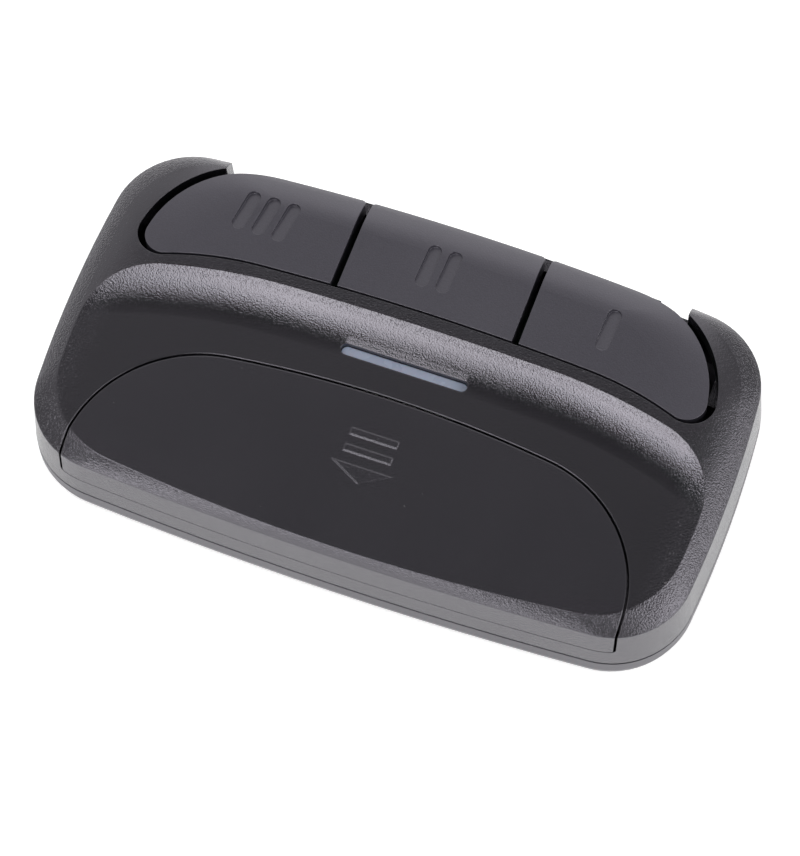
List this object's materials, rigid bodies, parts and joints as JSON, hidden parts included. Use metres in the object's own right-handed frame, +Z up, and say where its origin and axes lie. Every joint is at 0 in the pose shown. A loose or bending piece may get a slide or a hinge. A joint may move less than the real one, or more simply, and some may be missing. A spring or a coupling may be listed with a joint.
{
  "type": "gate remote",
  "caption": "Flat hand remote for gates and garage doors with hinged buttons behind a ridge, a light bar and a sliding battery door.",
  "frame": {"origin": "centre of the flat underside, the face that the remote lies on", "axes": "+X to the right along the buttons' row, +Y from the battery door to the buttons, +Z up out of the button side"},
  "size_m": [0.08, 0.045, 0.0133],
  "materials": {
    "housing_plastic": "fine spark-eroded texture, satin on the door and the side wall",
    "button_plastic": "satin",
    "clear_plastic": "frosted clear, glossy",
    "lamp_resin": "clear resin",
    "board_laminate": "solder mask, glossy",
    "cell_steel": "nickel plated",
    "spring_steel": "nickel plated strip",
    "chip_resin": "moulded resin",
    "can_steel": "drawn can",
    "ceramic": "sintered",
    "tinned_copper": "bare copper wire",
    "switch_plastic": "moulded, satin",
    "plunger_plastic": "moulded, satin",
    "screw_steel": "black zinc"
  },
  "bodies": {
    "housing": {"top_housing": "housing_plastic", "bottom_housing": "housing_plastic", "light_bar": "clear_plastic", "indicator_leds": "lamp_resin", "circuit_board": "board_laminate", "coin_cell": "cell_steel", "positive_contact": "spring_steel", "negative_contact": "spring_steel", "microcontroller": "chip_resin", "radio_chip": "chip_resin", "crystal_can": "can_steel", "resonator_filter": "can_steel", "capacitors": "ceramic", "resistors": "chip_resin", "antenna_wire": "tinned_copper", "program_switch_case": "switch_plastic", "switch_case_one": "switch_plastic", "switch_case_two": "switch_plastic", "switch_case_three": "switch_plastic", "closure_screws": "screw_steel"},
    "door": {"battery_door": "housing_plastic"},
    "button_one": {"button_one": "button_plastic"},
    "button_two": {"button_two": "button_plastic"},
    "button_three": {"button_three": "button_plastic"},
    "plunger_one": {"switch_plunger_one": "plunger_plastic"},
    "plunger_two": {"switch_plunger_two": "plunger_plastic"},
    "plunger_three": {"switch_plunger_three": "plunger_plastic"},
    "program_plunger": {"program_switch_plunger": "plunger_plastic"}
  },
  "joints": [
    {"name": "door_slide", "type": "slide", "parent": "housing", "child": "door", "axis": [0, -1, 0], "range_m": [0, 0.0045]},
    {"name": "button_one_hinge", "type": "hinge", "parent": "housing", "child": "button_one", "pos_m": [0, 0.0109, 0.0094], "axis": [-1, 0, 0], "range_deg": [0, 3.1], "stiffness_Nm_per_rad": 0.1},
    {"name": "plunger_one_slide", "type": "slide", "parent": "housing", "child": "plunger_one", "axis": [0, 0, -1], "range_m": [0, 0.00025]},
    {"name": "button_two_hinge", "type": "hinge", "parent": "housing", "child": "button_two", "pos_m": [0, 0.0109, 0.0094], "axis": [-1, 0, 0], "range_deg": [0, 3.1], "stiffness_Nm_per_rad": 0.1},
    {"name": "plunger_two_slide", "type": "slide", "parent": "housing", "child": "plunger_two", "axis": [0, 0, -1], "range_m": [0, 0.00025]},
    {"name": "button_three_hinge", "type": "hinge", "parent": "housing", "child": "button_three", "pos_m": [0, 0.0109, 0.0094], "axis": [-1, 0, 0], "range_deg": [0, 3.1], "stiffness_Nm_per_rad": 0.1},
    {"name": "plunger_three_slide", "type": "slide", "parent": "housing", "child": "plunger_three", "axis": [0, 0, -1], "range_m": [0, 0.00025]},
    {"name": "program_plunger_slide", "type": "slide", "parent": "housing", "child": "program_plunger", "axis": [0, 0, -1], "range_m": [0, 0.00025], "stiffness_N_per_m": 2000}
  ],
  "couplings": [
    {"joint": "plunger_one_slide", "follows": "button_one_hinge", "m_per_rad": 0.0046},
    {"joint": "plunger_two_slide", "follows": "button_two_hinge", "m_per_rad": 0.0046},
    {"joint": "plunger_three_slide", "follows": "button_three_hinge", "m_per_rad": 0.0046}
  ]
}
